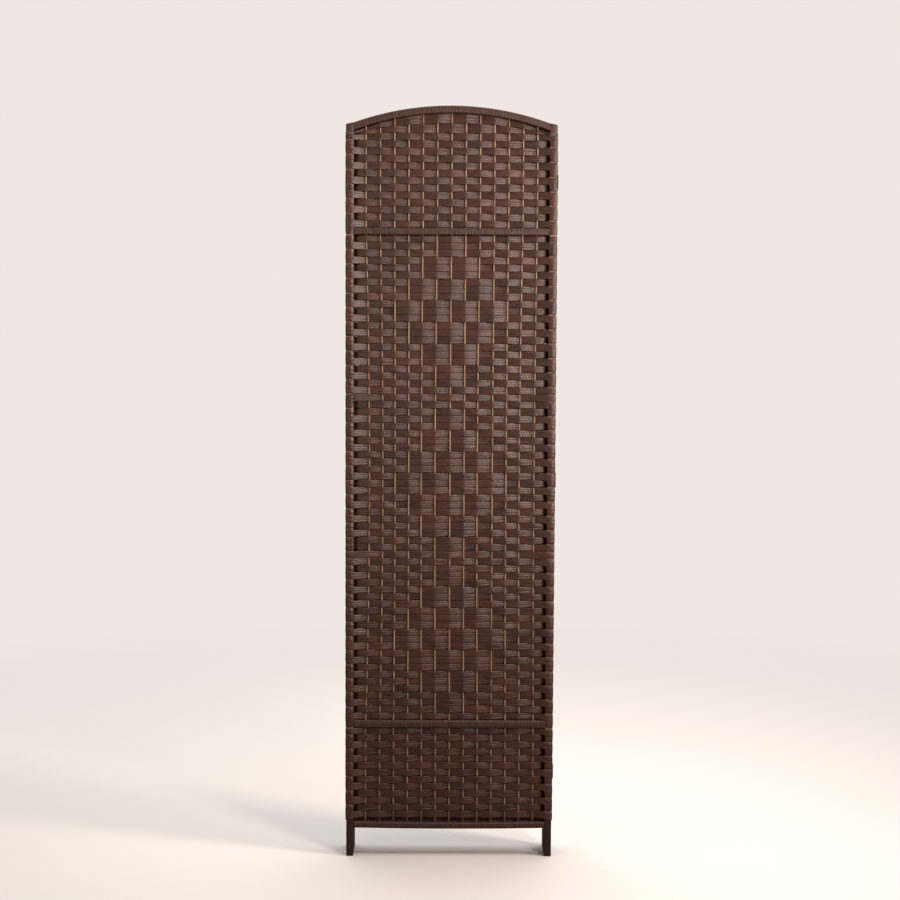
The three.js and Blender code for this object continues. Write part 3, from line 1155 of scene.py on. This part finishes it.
dice = random.Random(screwValues["seed"])
for name, node in sorted(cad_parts.items()):
    if not name.startswith("hinge_"):
        continue
    node.data.materials.clear()
    node.data.materials.append(hingeCoating)
    if name.endswith("_leaf"):
        makeScrewHeads(name, panels[leafOwner(name) - 1], dice)
print("hinges: coated")

lightValues = {
    "softbox": {
        "place": (1.1, -1.65, 1.47),
        "aim": (0, 0, 2.2),
        "size": (0.35, 1.5),
        "power": 31,
        "colour": (1, 0.89, 0.83),
    },
    "rake": {
        "place": (1.9, -0.75, 2.3),
        "aim": (0, 0, 1.5),
        "size": (0.4, 0.6),
        "power": 36,
        "colour": (1, 0.89, 0.82),
    },
    "fill": {
        "place": (-0.85, -1.1, 1.4),
        "aim": (-0.2, 0, 1.4),
        "size": (0.3, 1.5),
        "power": 2.0,
        "colour": (1, 0.86, 0.78),
    },
    "overhead": {
        "place": (0.0, 1.3, 3.3),
        "aim": (0, 1.4, 0.0),
        "size": (4.0, 4.0),
        "power": 130,
        "colour": (1, 0.98, 0.96),
    },
}
worldValues = {
    "shown": (240, 231, 226),
    "light": (1, 0.97, 0.94, 1),
    "strength": 0.05,
    "glossShare": 0.1,  # of the pale room in reflections; all of it would turn the fibre grey
}
floorValues = {
    "radius": 7.0,
    "sides": 96,
    "rough": 0.8,
    "fadeFrom": 0.8,
    "fadeTo": 3.2,
    "shown": (252, 246, 241),
    "bounced": (104, 76, 62),
}


def addLight(name, values):
    data = bpy.data.lights.new(name, "AREA")
    data.shape = "RECTANGLE"
    data.size, data.size_y = values["size"]
    data.energy = values["power"]
    data.color = values["colour"]
    light = bpy.data.objects.new(name, data)
    bpy.context.scene.collection.objects.link(light)
    place = Vector(values["place"])
    light.location = place
    light.rotation_mode = "QUATERNION"
    light.rotation_quaternion = (Vector(values["aim"]) - place).to_track_quat("-Z", "Y")


def seenShare(tree):
    # 1 where a ray shows the pale room, less where it lights the object
    path = tree.nodes.new("ShaderNodeLightPath").outputs
    straight = mathNode(tree, "ADD", path["Is Camera Ray"], path["Is Transmission Ray"])
    gloss = worldValues["glossShare"]
    return mathNode(tree, "MULTIPLY_ADD", path["Is Glossy Ray"], gloss, straight, clamp=True)


def makeWorld(values):
    world = bpy.data.worlds.new("softRoom")
    bpy.context.scene.world = world
    world.use_nodes = True
    tree = world.node_tree
    tree.nodes.clear()
    mix = tree.nodes.new("ShaderNodeMixShader")
    tree.links.new(seenShare(tree), mix.inputs[0])
    light, shown = (values["light"], values["strength"]), (srgb(*values["shown"]), 1.0)
    for index, (colour, strength) in enumerate((light, shown), start=1):
        node = tree.nodes.new("ShaderNodeBackground")
        node.inputs["Color"].default_value = colour
        node.inputs["Strength"].default_value = strength
        tree.links.new(node.outputs[0], mix.inputs[index])
    leave = tree.nodes.new("ShaderNodeOutputWorld")
    tree.links.new(mix.outputs[0], leave.inputs[0])


def makeFloor(values):
    # seen from above only, and fading into the backdrop
    bm = bmesh.new()
    bmesh.ops.create_circle(bm, cap_ends=True, segments=values["sides"], radius=values["radius"])
    mesh = bpy.data.meshes.new("paleFloor")
    bm.to_mesh(mesh)
    bm.free()
    floor = bpy.data.objects.new("paleFloor", mesh)
    bpy.context.scene.collection.objects.link(floor)
    material, tree, shader = startMaterial("paleFloor")
    tone = mixColour(tree, seenShare(tree), srgb(*values["bounced"]), srgb(*values["shown"]))
    tree.links.new(tone, shader.inputs["Base Color"])
    shader.inputs["Roughness"].default_value = values["rough"]
    coordinates = tree.nodes.new("ShaderNodeTexCoord")
    distance = tree.nodes.new("ShaderNodeVectorMath")
    distance.operation = "LENGTH"
    tree.links.new(coordinates.outputs["Object"], distance.inputs[0])
    far = distance.outputs["Value"]
    fade = mapRange(tree, far, values["fadeFrom"], values["fadeTo"], 1.0, 0.0)
    geometry = tree.nodes.new("ShaderNodeNewGeometry")
    fromAbove = mathNode(tree, "SUBTRACT", 1.0, geometry.outputs["Backfacing"])
    tree.links.new(mathNode(tree, "MULTIPLY", fade, fromAbove), shader.inputs["Alpha"])
    mesh.materials.append(material)


for name, values in lightValues.items():
    addLight(name, values)
makeWorld(worldValues)
makeFloor(floorValues)
bpy.context.scene.view_settings.view_transform = "Standard"
print("stage: lit")
